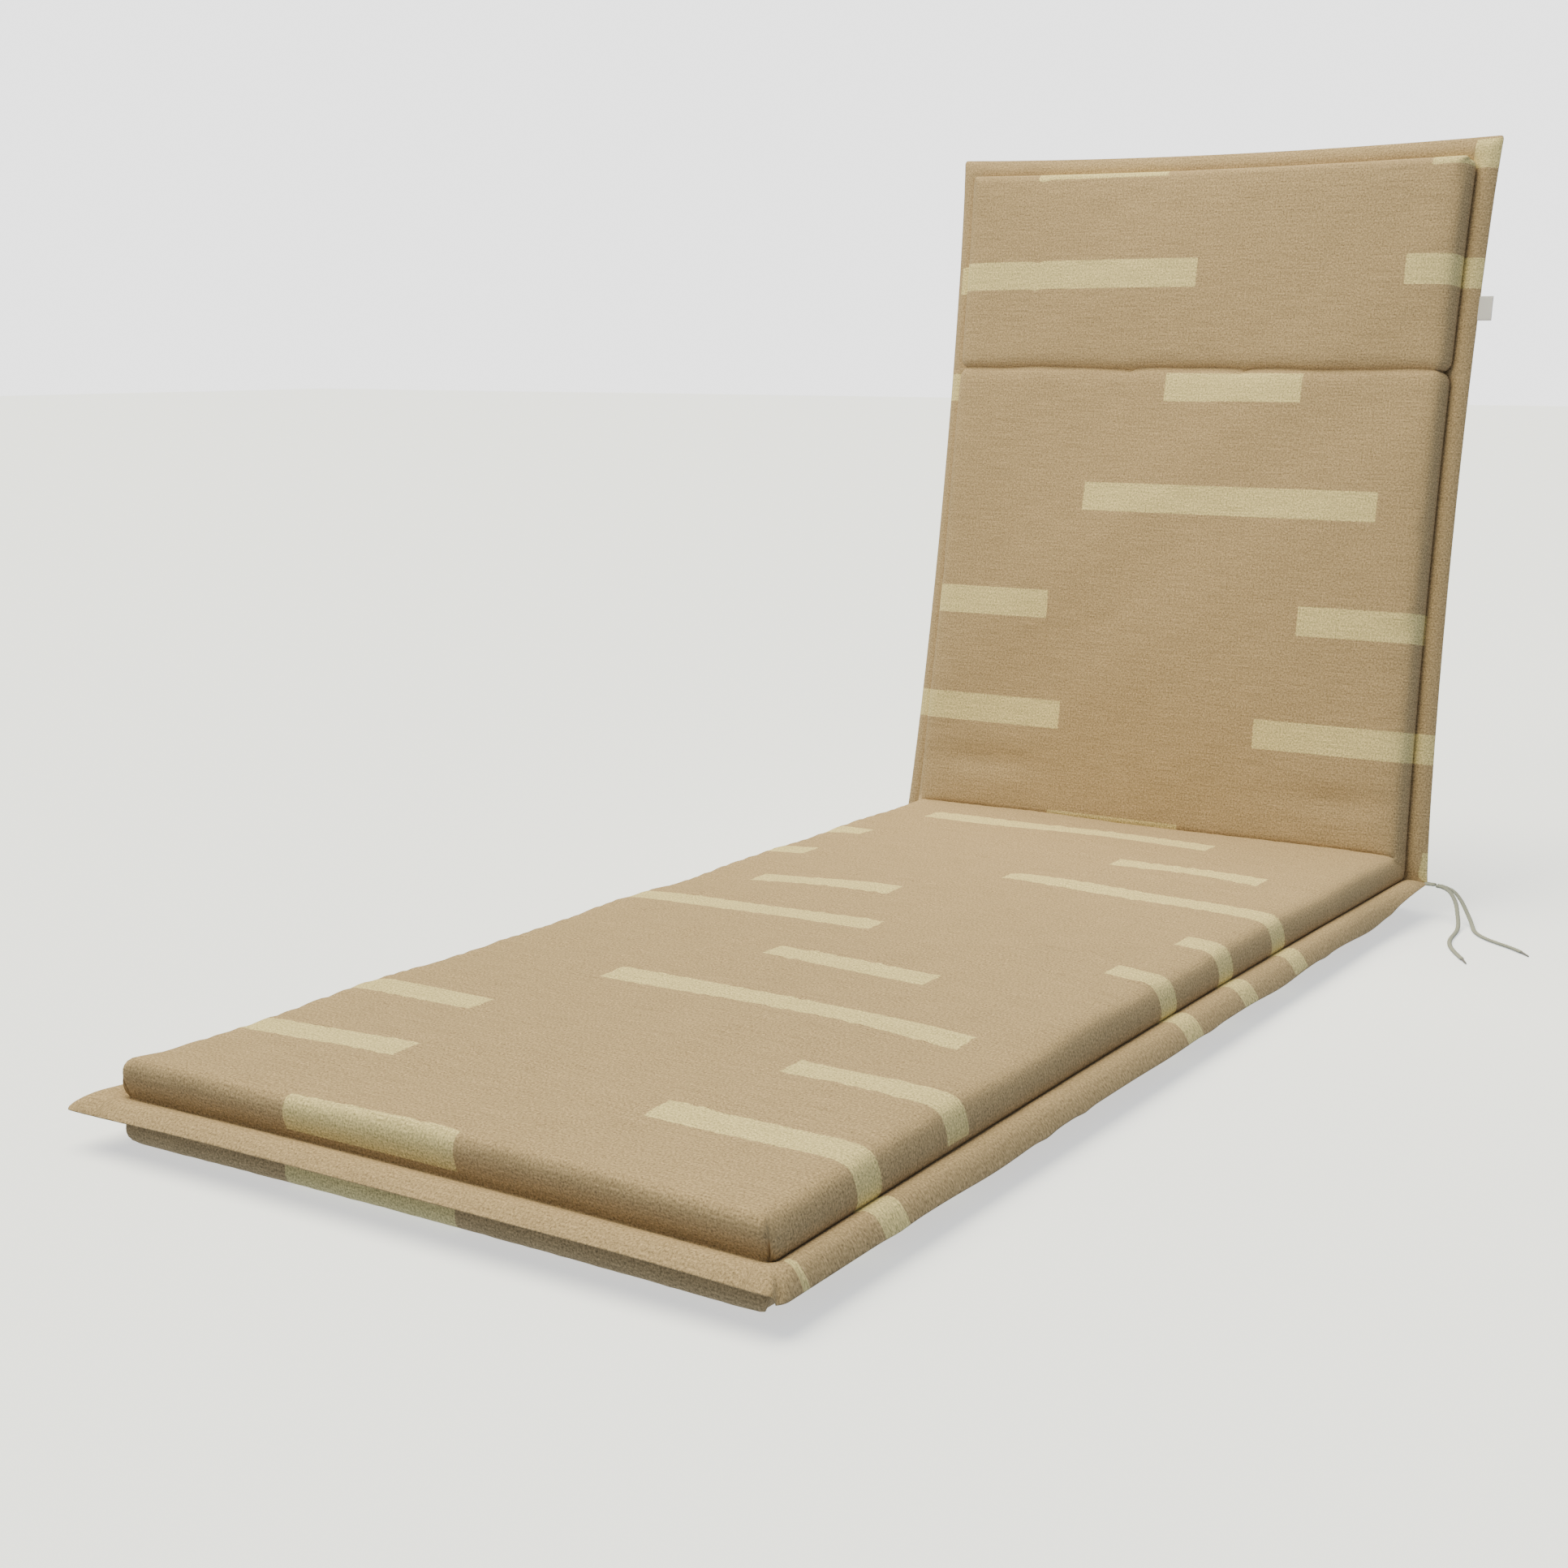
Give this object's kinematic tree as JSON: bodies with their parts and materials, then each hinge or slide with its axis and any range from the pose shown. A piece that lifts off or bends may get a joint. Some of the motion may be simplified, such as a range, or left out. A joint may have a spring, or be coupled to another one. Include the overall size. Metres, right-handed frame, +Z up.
{
  "type": "sun lounger cushion",
  "caption": "Long filled cushion for a sun lounger, folded at a sewn line into a flat seat and a leaning back, with a flat sewn margin, a head channel, a side tab and a tie cord.",
  "frame": {"origin": "centre of the flat underside of the seat section, on the surface that the cushion lies on", "axes": "+X across the width, to the right seen from the foot end; +Y from the foot end towards the back; +Z up"},
  "size_m": [0.7384, 1.3231, 0.7632],
  "materials": {
    "cover_fabric": "matt plain weave, warm tan melange with pale straw dashes",
    "tie_cord": "matt braid, pale grey-green",
    "tie_tip": "hardened cord end, dark grey",
    "side_tab": "fine woven tape, light grey, blank"
  },
  "bodies": {
    "root": {"cushion": "cover_fabric", "side_tab": "side_tab", "tie_root": "tie_cord", "tie_long": "tie_cord", "tie_short": "tie_cord", "tie_long_tip": "tie_tip", "tie_short_tip": "tie_tip"}
  },
  "joints": []
}
